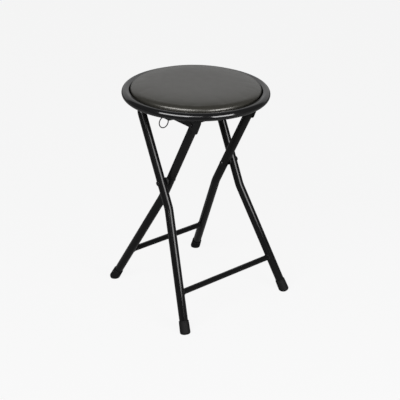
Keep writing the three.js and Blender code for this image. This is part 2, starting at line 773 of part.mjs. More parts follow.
const innerStretcher = stretcher(innerPlan, [innerLegRoute(-1), innerLegRoute(1)]);
innerFrame.add(named("inner_stretcher", innerStretcher, paintedSteel));
outerFrame.add(
  named("outer_frame_tube", outerTube(), paintedSteel),
  named("outer_stretcher", stretcher(outerPlan, [outerFrameRoute()]), paintedSteel),
);
seat.add(
  named("seat_rim", turned(rimProfile(), rimSegments), glossRim),
  named("seat_board", board(), boardWood),
  named("seat_foam", turned(foamProfile(), padSegments), paleFoam),
  named("seat_cover", turned(coverProfile(), padSegments), blackVinyl),
  named("latch_hook", latchHook(), paintedSteel),
  named("latch_spring", latchSpring(), springSteel),
  named("pull_ring", pullRing(), darkZinc),
);
latchPinPlaces.forEach((place, i) => {
  const pin = named(`latch_pin_${i + 1}`, latchPin(), darkZinc);
  pin.position.set(place, 0, -latchMiddle);
  seat.add(pin);
});

const stool = new THREE.Group();
stool.add(innerFrame, outerFrame, seat);
export default stool;
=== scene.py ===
"""Looks of a round padded folding stool: bent tube frames, rubber feet, a pressed rim, a padded
seat, and the rails and latch underneath. Metres, +Z up, the near side with the pull ring at -Y."""

import math
from types import SimpleNamespace

import bmesh
import bpy
import numpy as np
from bpy.props import FloatProperty, FloatVectorProperty, IntProperty, PointerProperty
from mathutils import Matrix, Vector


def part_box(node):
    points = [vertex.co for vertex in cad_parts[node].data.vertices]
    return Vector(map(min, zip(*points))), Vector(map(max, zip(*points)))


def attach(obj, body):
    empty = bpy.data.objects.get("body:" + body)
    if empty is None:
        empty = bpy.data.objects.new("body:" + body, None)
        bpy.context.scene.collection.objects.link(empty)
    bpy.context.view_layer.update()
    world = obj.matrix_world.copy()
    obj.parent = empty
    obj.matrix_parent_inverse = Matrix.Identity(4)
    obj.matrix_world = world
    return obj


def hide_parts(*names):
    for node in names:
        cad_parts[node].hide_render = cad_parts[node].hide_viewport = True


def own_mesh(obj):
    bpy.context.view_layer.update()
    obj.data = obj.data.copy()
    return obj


bl_info = {
    "name": "Round folding stool",
    "version": (1, 0, 0),
    "blender": (4, 5, 0),
    "location": "View3D > Sidebar > Stool",
    "description": "Dresses the packed frame of a round padded folding stool",
    "category": "Add Mesh",
}

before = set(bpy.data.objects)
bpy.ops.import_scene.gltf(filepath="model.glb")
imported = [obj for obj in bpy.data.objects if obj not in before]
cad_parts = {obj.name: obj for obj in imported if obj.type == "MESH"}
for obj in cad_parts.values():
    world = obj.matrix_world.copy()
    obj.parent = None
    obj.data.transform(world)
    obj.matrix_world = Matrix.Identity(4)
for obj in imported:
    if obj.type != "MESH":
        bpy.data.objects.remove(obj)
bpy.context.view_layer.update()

SIDES = {"near": -1, "far": 1}


def length(name, description, default):
    """A size in metres that a user can change."""
    return FloatProperty(
        name=name, description=description, default=default, min=0, unit="LENGTH", precision=5
    )


def degrees(name, description, default):
    """An angle in degrees."""
    return FloatProperty(name=name, description=f"{description}, in degrees", default=default)


def colour(name, description, default):
    """A finish's own colour, as linear red, green and blue."""
    return FloatVectorProperty(
        name=name, description=description, default=default, min=0, max=1, size=3, subtype="COLOR"
    )


class StoolFrameSizes(bpy.types.PropertyGroup):
    """Sizes of the two crossed frames, which repeat those of the solids."""

    tube_diameter: length("Tube diameter", "Outside diameter of the legs", 0.018)
    tube_wall: length("Tube wall", "Wall of the legs and of the cross tubes", 0.0012)
    knee_bend: length("Knee bend", "Radius of the bend below the crossing", 0.07)
    crossbar_bend: length("Crossbar bend", "Radius of the outer frame's top bends", 0.02)
    cross_tube: length("Cross tube", "Diameter of the tubes between the legs", 0.012)
    foot_reach: length("Foot reach", "From the middle to where a leg meets the floor", 0.14)
    pivot_height: length("Pivot height", "Height of the crossing", 0.277)
    pivot_offset: length("Pivot offset", "The crossing's place from the middle", 0.009)
    knee_height: length("Knee height", "Height of the bends where the legs spread", 0.227)
    inner_half_width: length("Inner half width", "From the middle to an inner leg", 0.073)
    outer_half_width: length("Outer half width", "From the middle to an outer leg", 0.096)
    inner_splay: length("Inner splay", "How far an inner foot stands out", 0.044)
    outer_splay: length("Outer splay", "How far an outer foot stands out", 0.043)
    inner_cross_height: length("Inner cross tube height", "Height of the inner frame's tube", 0.08)
    outer_cross_height: length("Outer cross tube height", "Height of the outer frame's tube", 0.073)
    crossbar_drop: length("Crossbar drop", "From the seat plane to the outer frame's top", 0.0155)
    seat_tilt: FloatProperty(
        name="Seat tilt",
        description="Rise of the seat from its hinge",
        default=math.radians(0.9),
        subtype="ANGLE",
    )
    hinge_drop: length("Hinge drop", "From the seat plane to its hinge", 0.016728)
    hinge_height: length("Hinge height", "Height of the seat's hinge", 0.421972)
    top_past_hinge: length("Top past hinge", "How far an inner leg runs past its hinge", 0.009)


class StoolFootSizes(bpy.types.PropertyGroup):
    """Sizes of the rubber feet."""

    wall: length("Foot wall", "Thickness of the cup round the tube", 0.0015)
    sleeve: length("Foot sleeve", "How much of the tube the cup covers", 0.018)
    standoff: length("Foot standoff", "From the floor to the tube's end", 0.0075)
    toe: length("Foot toe", "How far the rounded end runs on", 0.003)
    edge_round: length("Foot edge round", "Radius of the rounded end", 0.005)


class StoolSeatSizes(bpy.types.PropertyGroup):
    """Sizes of the seat."""

    radius: length("Seat radius", "Outside radius of the rim", 0.15)
    gap: length("Gap", "Between pieces that touch", 0.0003)
    rim_width: length("Rim width", "Width of the rim seen from above", 0.016)
    rim_height: length("Rim height", "Height of the rim", 0.016)
    rim_sheet: length("Rim sheet", "Thickness of the rim's sheet", 0.0015)
    rim_round: length("Rim round", "Radius of the rim's outer side", 0.008)
    rim_inner_round: length("Rim inner round", "Radius of the roll at the pad's side", 0.003)
    rim_inner_drop: length("Rim inner drop", "How much lower the rim's inner edge lies", 0.0012)
    groove: length("Groove", "Between the pad and the rim", 0.002)
    pad_side: length("Pad side", "Height of the pad's upright side", 0.0155)
    pad_crown: length("Pad crown", "Rise of the pad from its edge to the middle", 0.016)
    board_top: length("Board top", "Height of the board's top over the seat plane", 0.0076)
    hem: length("Hem", "Width of the cover turned in under the board", 0.009)
    voxel: length("Voxel", "Grid size of the cloth of the pad", 0.004)
    staples: IntProperty(name="Staples", description="Staples in the hem", default=30, min=8)


class StoolFinishes(bpy.types.PropertyGroup):
    """Colours of the finishes."""

    paint: colour("Frame paint", "Black coat of the tubes and rails", (0.003, 0.003, 0.0031))
    rim: colour("Rim coat", "Gloss black coat of the rim", (0.003, 0.003, 0.0032))
    vinyl: colour("Vinyl", "Black cover of the pad", (0.0145, 0.0138, 0.0114))
    rubber: colour("Rubber", "Black rubber of the feet", (0.005, 0.005, 0.005))
    zinc: colour("Dark zinc", "Blackened rivets, screws and ring", (0.028, 0.028, 0.03))
    nylon: colour("Nylon", "Black spacers at the crossing", (0.006, 0.006, 0.006))
    board: colour("Board", "Pressed wood under the pad", (0.16, 0.092, 0.045))
    spring: colour("Spring wire", "Bright wire of the latch spring", (0.42, 0.42, 0.43))


class StoolStage(bpy.types.PropertyGroup):
    """Floor, light and camera."""

    background: FloatProperty(
        name="Background", description="Tone of the floor", default=0.915, min=0, max=1
    )
    azimuth: degrees("Azimuth", "Turn of the camera round the stool", 50.11)
    elevation: degrees("Elevation", "Height angle of the camera", 25.33)
    roll: degrees("Roll", "Tilt of the picture", 0.53)
    distance: length("Distance", "From the aim to the camera", 2.1294)
    aim_height: length("Aim height", "Height that the camera looks at", 0.20633)
    aim_shift: length("Aim shift", "Sideways shift of the aim", 0.0104)
    lens: FloatProperty(name="Lens", description="Focal length in millimetres", default=90.405)


class StoolSettings(bpy.types.PropertyGroup):
    """All that a user can change."""

    frames: PointerProperty(type=StoolFrameSizes)
    feet: PointerProperty(type=StoolFootSizes)
    seat: PointerProperty(type=StoolSeatSizes)
    finishes: PointerProperty(type=StoolFinishes)
    stage: PointerProperty(type=StoolStage)


def set_all(thing, **settings):
    """Gives a thing its settings by name."""
    for name, value in settings.items():
        setattr(thing, name, value)


def linked(name, data):
    """A new object in the scene."""
    made = bpy.data.objects.new(name, data)
    bpy.context.scene.collection.objects.link(made)
    return made


# Meshes from grids of points


def grid_faces(rows, columns, close_rows, first):
    """Quads between neighbours of a grid whose columns close round, and whose rows may."""
    index = first + np.arange(rows * columns).reshape(rows, columns)
    here = index if close_rows else index[:-1]
    after = np.roll(index, -1, axis=0) if close_rows else index[1:]
    quads = np.stack([here, np.roll(here, -1, axis=1), np.roll(after, -1, axis=1), after], axis=-1)
    return quads.reshape(-1, 4)


def grid_piece(name, *grids, close_rows=False, crease=40):
    """One piece from grids of points, each a closed surface of its own: doubled points merged,
    faces outwards, smooth up to the crease angle."""
    points = np.concatenate([grid.reshape(-1, 3) for grid in grids])
    firsts = np.cumsum([0] + [grid.shape[0] * grid.shape[1] for grid in grids])
    faces = [grid_faces(*grid.shape[:2], close_rows, first) for grid, first in zip(grids, firsts)]
    mesh = bpy.data.meshes.new(name)
    mesh.from_pydata(points.tolist(), [], np.concatenate(faces).tolist())
    tidy = bmesh.new()
    tidy.from_mesh(mesh)
    bmesh.ops.remove_doubles(tidy, verts=tidy.verts, dist=1e-7)
    bmesh.ops.recalc_face_normals(tidy, faces=tidy.faces)
    tidy.to_mesh(mesh)
    tidy.free()
    mesh.shade_smooth()
    mesh.set_sharp_from_angle(angle=math.radians(crease))
    return linked(name, mesh)


def unit(vectors):
    """The vectors, each one metre long."""
    vectors = np.asarray(vectors, float)
    return vectors / np.linalg.norm(vectors, axis=-1, keepdims=True)


def around(count):
    """Angles of a full turn, the last short of the first."""
    return np.arange(count) * 2 * np.pi / count


def polar(radius, angle):
    """The pair r cos a, r sin a."""
    return radius * np.cos(angle), radius * np.sin(angle)


def arc(centre, radius, start, end, steps=12):
    """Points of an arc: centre + radius (cos a, sin a)."""
    across, up = polar(radius, np.radians(np.linspace(start, end, steps + 1)))
    return np.stack([centre[0] + across, centre[1] + up], axis=-1)


def xyz(x, y, z):
    """A grid of points from three arrays that fit each other."""
    return np.stack(np.broadcast_arrays(x, y, z), axis=-1)


def turned(profile, segments):
    """A profile of radius and height turned round Z: (r cos a, r sin a, z)."""
    radius, height = np.asarray(profile, float).T[..., None]
    return xyz(*polar(radius, around(segments)), height)


def along_y(grid, centre):
    """A turned grid laid along Y: its height becomes Y, from the given centre."""
    return grid[..., [0, 2, 1]] + np.asarray(centre, float)


def carried(points, headings, side, radii, sides):
    """A round section carried along a path: p + r (cos a side + sin a heading x side)."""
    angle, side = around(sides)[None, :, None], np.broadcast_to(side, points.shape)
    ring = np.cos(angle) * side[:, None] + np.sin(angle) * np.cross(headings, side)[:, None]
    return points[:, None] + np.reshape(radii, (-1, 1, 1)) * ring


def wire(points, headings, side, radius, sides):
    """A round section carried along a path and closed at both ends of it."""
    body = carried(points, headings, side, radius, sides)
    first, last = (np.repeat(points[k][None, None], sides, 1) for k in (0, -1))
    return np.concatenate([first, body, last])


def bent_path(corners, bends, steps=28):
    """Straight runs with rounded corners. On a bend of radius R the point is
    centre + R (cos a out + sin a ahead), with a from minus to plus half of the turn."""
    corners = np.asarray(corners, float)
    runs = unit(np.diff(corners, axis=0))
    points, headings = [corners[:1]], [runs[:1]]
    for i, radius in enumerate(bends):
        before, after, corner = runs[i], runs[i + 1], corners[i + 1]
        turn = math.acos(np.clip(before @ after, -1, 1))
        inward, ahead = unit(after - before), unit(after + before)
        centre = corner + inward * radius / math.cos(turn / 2)
        a = np.linspace(-turn / 2, turn / 2, steps + 1)[:, None]
        points.append(centre + radius * (np.sin(a) * ahead - np.cos(a) * inward))
        headings.append(np.cos(a) * ahead + np.sin(a) * inward)
    points.append(corners[-1:])
    headings.append(runs[-1:])
    return np.concatenate(points), np.concatenate(headings)


def pipe(path, side, radius, wall, sides=36):
    """A tube with its bore: the section is carried out along the outside, over a rounded lip, back
    through the bore and over the other lip, so that the surface closes on itself."""
    points, headings = path
    half, run, count = wall / 2, (points[1:-1], headings[1:-1]), len(points) - 2

    def lip(k, turn):
        swing = np.radians(np.linspace(0, 180, 7)[::turn])
        centres = points[k] + turn * headings[k] * half * (np.sin(swing[:, None]) - 1)
        return centres, np.repeat(headings[k][None], 7, 0), radius - half + half * np.cos(swing)

    bore = (run[0][::-1], run[1][::-1], np.full(count, radius - wall))
    rows = [(*run, np.full(count, radius)), lip(-1, 1), bore, lip(0, -1)]
    centres, directions, radii = (np.concatenate(part) for part in zip(*rows))
    return carried(centres, directions, side, radii, sides)


def leg_plan(sizes, kind):
    """The measures of one frame in its own plane: Y across, Z up along the upper legs, and the
    crossing at the origin. A height h lies (h - pivot height) / cos(lean) along the frame."""
    sign = 1 if kind == "inner" else -1
    lean = math.atan2(sizes.foot_reach + sign * sizes.pivot_offset, sizes.pivot_height)

    def own(name):
        return getattr(sizes, f"{kind}_{name}")

    def along(height):
        return (height - sizes.pivot_height) / math.cos(lean)

    knee, foot = along(sizes.knee_height), along(0)
    if kind == "inner":
        top = along(sizes.hinge_height) + sizes.top_past_hinge
    else:
        top = along(crossbar_height(sizes))
    return SimpleNamespace(
        lean=sign * lean,
        half_width=own("half_width"),
        splay=own("splay"),
        slope=own("splay") / (knee - foot),
        foot=foot,
        knee=knee,
        cross=along(own("cross_height")),
        top=top,
        origin=np.array([sizes.pivot_offset, 0, sizes.pivot_height]),
    )


def hinge_place(sizes):
    """The hinge's X, on the line of the inner legs at the hinge's height."""
    rise = sizes.hinge_height - sizes.pivot_height
    return sizes.pivot_offset + rise * (sizes.foot_reach + sizes.pivot_offset) / sizes.pivot_height


def crossbar_height(sizes):
    """Where the outer legs' line comes up to its drop under the tilted seat: with the plane's height
    p at x = foot reach, the slope t of the seat and s of the legs, (p - drop / cos) / (1 - s t)."""
    rise = math.tan(sizes.seat_tilt)
    slant = (sizes.foot_reach - sizes.pivot_offset) / sizes.pivot_height
    over_hinge = sizes.hinge_height + sizes.hinge_drop / math.cos(sizes.seat_tilt)
    over_foot = over_hinge + (hinge_place(sizes) - sizes.foot_reach) * rise
    return (over_foot - sizes.crossbar_drop / math.cos(sizes.seat_tilt)) / (1 - slant * rise)


def leaned(grid, angle):
    """Turned about Y: (x cos a + z sin a, y, z cos a - x sin a)."""
    c, s = math.cos(angle), math.sin(angle)
    return grid @ np.array([[c, 0, s], [0, 1, 0], [-s, 0, c]]).T


def on_seat(sizes, grid):
    """From the seat's own coordinates, with Z up from the rails' top, to the stool: turned about
    the hinge by the seat's tilt."""
    hinge = np.array([hinge_place(sizes), 0, -sizes.hinge_drop])
    level = leaned(np.asarray(grid, float) - hinge, sizes.seat_tilt)
    return level + [hinge[0], 0, sizes.hinge_height]


def half_at(plan, z):
    """From the middle to the lower leg's axis at a place along the frame."""
    return plan.half_width + plan.slope * (plan.knee - z)


def stand(grid, plan):
    """From a frame's own plane to the stool: leaned about Y and moved to the crossing."""
    return leaned(grid, plan.lean) + plan.origin


def lower_leg(plan, side, standoff):
    """The lower leg's unit vector from the floor up, and the tube's end over the sole's centre."""
    up = unit([0, -side * plan.slope, 1])
    sole = np.array([0, side * (plan.half_width + plan.splay), plan.foot])
    return up, sole, sole + up * standoff


# Finishes


def shader_node(tree, kind, inputs=(), **settings):
    """A shader node with its settings. Each input takes a value, or another node's output."""
    made = tree.nodes.new(f"ShaderNode{kind}")
    set_all(made, **settings)
    for name, value in dict(inputs).items():
        if isinstance(value, bpy.types.NodeSocket):
            tree.links.new(value, made.inputs[name])
        else:
            made.inputs[name].default_value = value
    return made


def cleared(owner):
    """The emptied node tree of a material or a world."""
    owner.use_nodes = True
    owner.node_tree.nodes.clear()
    return owner.node_tree


class Finish:
    """A material under way: one principled surface, with patterns on Object coordinates."""

    def __init__(self, name, base, constants):
        self.material = bpy.data.materials.new(name)
        self.tree, self.base = cleared(self.material), base
        self.shader = self.add("BsdfPrincipled", {"Base Color": (*base, 1), **constants})
        self.add("OutputMaterial", {"Surface": self.shader.outputs[0]})
        self.place = self.add("TexCoord").outputs["Object"]

    def add(self, kind, inputs=(), **settings):
        return shader_node(self.tree, kind, inputs, **settings)

    def drive(self, socket, source):
        self.tree.links.new(source, self.shader.inputs[socket])

    def noise(self, scale, detail, roughness=0.5):
        """A cloud pattern with the given number of waves to the metre."""
        inputs = {"Vector": self.place, "Scale": scale, "Detail": detail, "Roughness": roughness}
        return self.add("TexNoise", inputs).outputs["Fac"]

    def span(self, value, low, high, out_low, out_high):
        """A value carried from one range to another, held at its ends."""
        ends = {"From Min": low, "From Max": high, "To Min": out_low, "To Max": out_high}
        return self.add("MapRange", {"Value": value, **ends}).outputs["Result"]

    def tint(self, share, dark, light):
        """The base colour, from dark to light times itself as the share goes from 0 to 1."""
        low, high = ((*[min(1, c * k) for c in self.base], 1) for k in (dark, light))
        mix = self.add("Mix", {"A": low, "B": high, "Factor": share}, data_type="RGBA")
        self.drive("Base Color", mix.outputs["Result"])

    def rough(self, share, low, high):
        """Roughness between two values as the share goes from 0.3 to 0.7."""
        self.drive("Roughness", self.span(share, 0.3, 0.7, low, high))

    def bump(self, *layers):
        """Relief from layers of height, each with its depth in metres."""
        below = {}
        for height, depth in layers:
            layer = self.add("Bump", {"Strength": 1, "Distance": depth, "Height": height, **below})
            below = {"Normal": layer.outputs["Normal"]}
        self.drive("Normal", below["Normal"])


SPECULAR, METALLIC = "Specular IOR Level", "Metallic"

# Finishes by name: the colour, the surface, the clouds (scale, detail, roughness) that vary the
# colour by a tint and the gloss by a range, and relief of other clouds, each with its depth.
CLOUDED = {
    # black powder coat: a faint orange peel
    "tube_paint": (
        "paint", {SPECULAR: 0.2}, (28, 4, 0.6), (0.8, 1.35), (0.14, 0.19), [(90, 2, 4e-6)]
    ),
    # gloss black coat over pressed sheet, with a slow wave
    "rim_gloss": ("rim", {SPECULAR: 0.45}, (18, 3), (0.85, 1.25), (0.1, 0.14), [(30, 2, 3e-5)]),
    # moulded black rubber: matt, with a fine tooth and a little dust
    "foot_rubber": (
        "rubber", {SPECULAR: 0.08}, (85, 5, 0.65), (0.75, 1.6), (0.55, 0.72),
        [(1400, 3, 4e-5), (240, 2, 6e-5)],
    ),
    # blackened zinc: wear in the gloss
    "dark_zinc": (
        "zinc", {METALLIC: 0.9}, (300, 5, 0.7), (0.6, 1.8), (0.34, 0.52), [(1800, 3, 6e-6)]
    ),
    # moulded nylon: matt with a faint mottle
    "black_nylon": (
        "nylon", {SPECULAR: 0.2}, (220, 3), (0.8, 1.4), (0.44, 0.58), [(1100, 2, 2e-5)]
    ),
    # drawn spring wire with a trace of oil
    "spring_wire": ("spring", {METALLIC: 1.0}, (500, 3), (0.7, 1.15), (0.18, 0.36), []),
    # a weld bead under the black coat, rougher than the tube
    "weld_paint": (
        "paint", {SPECULAR: 0.15}, (500, 4, 0.7), (0.7, 1.8), (0.42, 0.42),
        [(500, 4, 0.7, 1.5e-4)],
    ),
}


def clouded(name, colours, colour, surface, clouds, tint, rough, relief):
    """A finish from a row of the table."""
    finish = Finish(name, tuple(getattr(colours, colour)), surface)
    pattern = finish.noise(*clouds)
    finish.tint(pattern, *tint)
    finish.rough(pattern, *rough)
    if relief:
        finish.bump(*[(finish.noise(*shape), depth) for *shape, depth in relief])
    return finish.material


def grained_vinyl(name, colours):
    """Black vinyl with a pressed leather grain: rounded cells whose places wander a little."""
    surface = {SPECULAR: 0.58, "Specular Tint": (1, 0.98, 0.93, 1)}
    finish = Finish(name, tuple(colours.vinyl), surface)
    drift = finish.add("TexNoise", {"Vector": finish.place, "Scale": 420, "Detail": 2})
    small = finish.add(
        "VectorMath", {0: drift.outputs["Color"], "Scale": 0.0012}, operation="SCALE"
    ).outputs["Vector"]
    wander = finish.add("VectorMath", {0: finish.place, 1: small}, operation="ADD")
    cells = {"Vector": wander.outputs["Vector"], "Scale": 620, "Randomness": 1}
    grain = finish.add("TexVoronoi", cells, feature="SMOOTH_F1").outputs["Distance"]
    finish.tint(finish.noise(9, 4, 0.55), 0.82, 1.22)
    finish.rough(finish.noise(60, 3), 0.29, 0.33)
    finish.bump((finish.span(grain, 0, 0.8, 1, 0), 4e-6), (finish.noise(14, 2), 3e-4))
    return finish.material


def pressed_board(name, colours):
    """Pressed wood: long flakes in brown, with darker gaps and a rough face."""
    finish = Finish(name, tuple(colours.board), {"Roughness": 0.78, SPECULAR: 0.25})
    turned_place = {"Vector": finish.place, "Scale": (1, 0.45, 1), "Rotation": (0, 0, 0.6)}
    stretched = finish.add("Mapping", turned_place).outputs["Vector"]
    flakes = finish.add("TexVoronoi", {"Vector": stretched, "Scale": 230, "Randomness": 1}).outputs
    apart = finish.add("SeparateColor", {"Color": flakes["Color"]})
    finish.tint(apart.outputs["Red"], 0.55, 1.7)
    finish.bump((flakes["Distance"], 2e-4), (finish.noise(900, 3), 1e-4))
    return finish.material


PATTERNED = {"seat_vinyl": grained_vinyl, "pressed_board": pressed_board}


def finish_of(name):
    """The finish of that name, made the first time it is asked for."""
    colours = bpy.context.scene.stool.finishes
    if name in bpy.data.materials:
        return bpy.data.materials[name]
    if name in PATTERNED:
        return PATTERNED[name](name, colours)
    return clouded(name, colours, *CLOUDED[name])


def fit(piece, body, finish, slot, *nodes):
    """Gives a piece its finish, the body that it moves with, and the solids that it stands for."""
    piece.data.materials.clear()
    piece.data.materials.append(finish_of(finish))
    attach(piece, body)
    if nodes:
        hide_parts(*nodes)


def measured(node):
    """The middle of a solid's box and half of its sizes."""
    low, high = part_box(node)
    return (low + high) / 2, (np.array(high) - np.array(low)) / 2


class STOOL_OT_legs(bpy.types.Operator):
    """Bent tubes of the two crossed frames"""

    bl_idname = "stool.legs"
    bl_label = "Leg tubes"

    def execute(self, context):
        sizes, feet = context.scene.stool.frames, context.scene.stool.feet
        radius, across = sizes.tube_diameter / 2, np.array([1.0, 0, 0])
        inner, outer = leg_plan(sizes, "inner"), leg_plan(sizes, "outer")

        def corners(plan, side):
            end = lower_leg(plan, side, feet.standoff)[2]
            return [end, [0, side * plan.half_width, plan.knee]]

        for word, side in SIDES.items():
            top = [0, side * inner.half_width, inner.top]
            path = bent_path([*corners(inner, side), top], [sizes.knee_bend])
            tube = pipe(path, across, radius, sizes.tube_wall)
            piece = grid_piece(f"inner_leg_tube_{word}", stand(tube, inner), close_rows=True)
            fit(piece, "inner_frame", "tube_paint", "painted_steel", f"inner_leg_{word}")
        tops = [[0, side * outer.half_width, outer.top] for side in (-1, 1)]
        bends = [sizes.knee_bend, sizes.crossbar_bend, sizes.crossbar_bend, sizes.knee_bend]
        path = bent_path([*corners(outer, -1), *tops, *corners(outer, 1)[::-1]], bends)
        tube = pipe(path, across, radius, sizes.tube_wall)
        piece = grid_piece("outer_frame_bent_tube", stand(tube, outer), close_rows=True)
        fit(piece, "outer_frame", "tube_paint", "painted_steel", "outer_frame_tube")
        return {"FINISHED"}


def mouth(plan, side, angle, radius, leg_radius):
    """Where a line of the cross tube meets the round of a leg. With x = r cos a and z = r sin a, the
    leg's axis stands at y0 + slope z, and the line ends sqrt(R^2 - x^2) short of it, over the
    cosine of the splay."""
    x, z = polar(radius, angle)
    short = np.sqrt(leg_radius**2 - x**2) * math.hypot(1, plan.slope)
    return side * (half_at(plan, plan.cross + z) - short)


def cross_tube(plan, radius, wall, leg_radius, rows=12, sides=36):
    """A tube along Y whose two ends are cut to the round of the legs, with its bore."""
    angle = around(sides)

    def skin(r, shares):
        ends = [mouth(plan, side, angle, r, leg_radius) for side in (-1, 1)]
        x, z = polar(r, angle)
        return xyz(x, ends[0] + (ends[1] - ends[0]) * shares[:, None], plan.cross + z)

    shares = np.linspace(0, 1, rows)
    return np.concatenate([skin(radius, shares), skin(radius - wall, shares[::-1])])


def weld_bead(plan, side, radius, leg_radius, bead=0.0013, steps=144, sides=10):
    """A ring of weld round a cross tube's mouth: a small circle carried along it, whose radius
    swells and thins with each puddle of the weld."""
    angle, ring = around(steps), around(sides)[None, :, None]
    x, z = polar(radius, angle)
    centre = xyz(x, mouth(plan, side, angle, radius, leg_radius), plan.cross + z)
    out, back = xyz(np.cos(angle), 0, np.sin(angle)), np.array([0, -side, 0.0])
    swell = bead * (1 + 0.12 * np.cos(26 * angle) + 0.1 * np.sin(3 * angle + side))
    spread = np.cos(ring) * out[:, None, :] + np.sin(ring) * back
    return centre[:, None, :] + swell[:, None, None] * spread


class STOOL_OT_cross_tubes(bpy.types.Operator):
    """Cross tubes between the legs, with their welds"""

    bl_idname = "stool.cross_tubes"
    bl_label = "Cross tubes"

    def execute(self, context):
        sizes = context.scene.stool.frames
        radius, leg = sizes.cross_tube / 2, sizes.tube_diameter / 2
        for kind in ("inner", "outer"):
            plan = leg_plan(sizes, kind)
            tube = cross_tube(plan, radius, sizes.tube_wall, leg)
            piece = grid_piece(f"{kind}_cross_tube", stand(tube, plan), close_rows=True)
            fit(piece, f"{kind}_frame", "tube_paint", "painted_steel", f"{kind}_stretcher")
            beads = [stand(weld_bead(plan, side, radius, leg), plan) for side in (-1, 1)]
            piece = grid_piece(f"{kind}_cross_tube_welds", *beads, close_rows=True)
            fit(piece, f"{kind}_frame", "weld_paint", "painted_steel")
        return {"FINISHED"}


def foot_profile(tube_radius, feet, slack=0.0001, taper=0.0004):
    """Radius against distance up the leg: a rounded toe, a slightly tapered side with a shallow
    groove near the top, a rolled lip, and the inside of the cup."""
    groove_depth, groove_width, groove_drop = 0.00045, 0.0006, 0.0035
    inner = tube_radius + slack
    outer = inner + feet.wall + 2 * slack
    top, floor, lip = feet.standoff + feet.sleeve, feet.standoff - 2 * slack, feet.wall / 2
    shoulder = feet.edge_round - feet.toe
    rounded = arc((outer - feet.edge_round, shoulder), feet.edge_round, -90, 0)
    side = np.linspace(shoulder, top - lip, 30)[1:-1]
    radius = outer - taper * (side - side[0]) / (side[-1] - side[0])
    radius -= groove_depth * np.exp(-(((side - (top - groove_drop)) / groove_width) ** 2))
    wall = np.stack([radius, side], axis=-1)
    rolled = arc((outer - taper - lip, top - lip), lip, 0, 180, 8)
    return [[0, -feet.toe], *rounded, *wall, *rolled, [inner, floor], [0, floor]]


class STOOL_OT_feet(bpy.types.Operator):
    """Rubber feet"""

    bl_idname = "stool.feet"
    bl_label = "Rubber feet"

    def execute(self, context):
        sizes, feet = context.scene.stool.frames, context.scene.stool.feet
        profile = foot_profile(sizes.tube_diameter / 2, feet)
        for kind in ("inner", "outer"):
            plan = leg_plan(sizes, kind)
            for word, side in SIDES.items():
                up, sole, _ = lower_leg(plan, side, 0)
                cup = turned(profile, 64)
                across = np.cross([1.0, 0, 0], up)
                grid = stand(sole + cup @ [[1, 0, 0], -across, up], plan)
                grid[..., 2] = np.maximum(grid[..., 2], 0)
                piece = grid_piece(f"{kind}_foot_cap_{word}", grid, crease=50)
                foot = f"{kind}_foot_{word}"
                fit(piece, f"{kind}_frame", "foot_rubber", "black_rubber", foot)
        return {"FINISHED"}


def rivet_profile(half, radius, flat=0.001, dome=0.0026, shank=0.003):
    """Radius against place along Y: a flat head with an eased edge at one end, a domed head at the
    other. The dome is a circle of radius (r^2 + h^2) / 2h."""
    low, high = -half, half
    bend = (radius**2 + dome**2) / (2 * dome)
    reach = math.degrees(math.asin(radius / bend))
    cap = arc((0, high - bend), bend, 90 - reach, 90, 10)
    cap[-1, 0] = 0
    head = arc((radius - flat / 2, low + flat / 2), flat / 2, -90, 90, 8)
    return [[0, low], *head, [shank, low + flat], [shank, cap[0, 1]], *cap]


def eased(radius, low, high, ease, steps):
    """The two rounded outer edges of a disc in section."""
    lower = arc((radius - ease, low + ease), ease, -90, 0, steps)
    return [*lower, *arc((radius - ease, high - ease), ease, 0, 90, steps)]


def washer_profile(half, radius, bore=0.0032, ease=0.0006):
    """A spacer in section: radius against place along Y, with eased outer edges."""
    return [*eased(radius, -half, half, ease, 6), [bore, half], [bore, -half]]


class STOOL_OT_rivets(bpy.types.Operator):
    """Rivets and spacers of the crossing, and rivets of the seat's hinge"""

    bl_idname = "stool.rivets"
    bl_label = "Rivets"

    def execute(self, context):
        for word, side in SIDES.items():
            for node, body, turn in (
                (f"pivot_rivet_{word}", "outer_frame", -side),
                (f"seat_hinge_rivet_{word}", "inner_frame", 1),
            ):
                middle, half = measured(node)
                grid = turned(rivet_profile(half[1], half[0]), 48) * [1, 1, turn]
                piece = grid_piece(f"{node}_head", along_y(grid, middle))
                fit(piece, body, "dark_zinc", "dark_zinc", node)
            middle, half = measured(f"pivot_spacer_{word}")
            grid = along_y(turned(washer_profile(half[1], half[2]), 48), middle)
            piece = grid_piece(f"pivot_washer_{word}", grid, close_rows=True)
            fit(piece, "outer_frame", "black_nylon", "nylon", f"pivot_spacer_{word}")
        return {"FINISHED"}


def rim_section(seat, bulge=0.12):
    """The rim's sheet in section: a half round outer side, a top that bulges a little, a small roll
    and an upright inner wall, and the same again inside it by the sheet's thickness."""
    foot, top = seat.gap, seat.gap + seat.rim_height
    crest, inner = seat.radius - seat.rim_round, seat.radius - seat.rim_width
    roll = (inner + seat.rim_inner_round, top - seat.rim_inner_drop - seat.rim_inner_round)

    def skin(inset):
        side = arc((crest, foot + seat.rim_round), seat.rim_round - inset, -90, 0, 14)
        shoulder = arc((crest, top - seat.rim_round), seat.rim_round - inset, 0, 90, 14)[1:]
        rolled = arc(roll, seat.rim_inner_round - inset, 90, 180, 8)
        share = np.linspace(0, 1, 6)[1:-1, None]
        ease = share + bulge * np.sin(2 * np.pi * share) / (2 * np.pi)
        crown = shoulder[-1] + (rolled[0] - shoulder[-1]) * np.concatenate([share, ease], axis=1)
        return np.concatenate([side, shoulder, crown, rolled, [[inner + inset, foot]]])

    return np.concatenate([skin(0), skin(seat.rim_sheet)[::-1]])


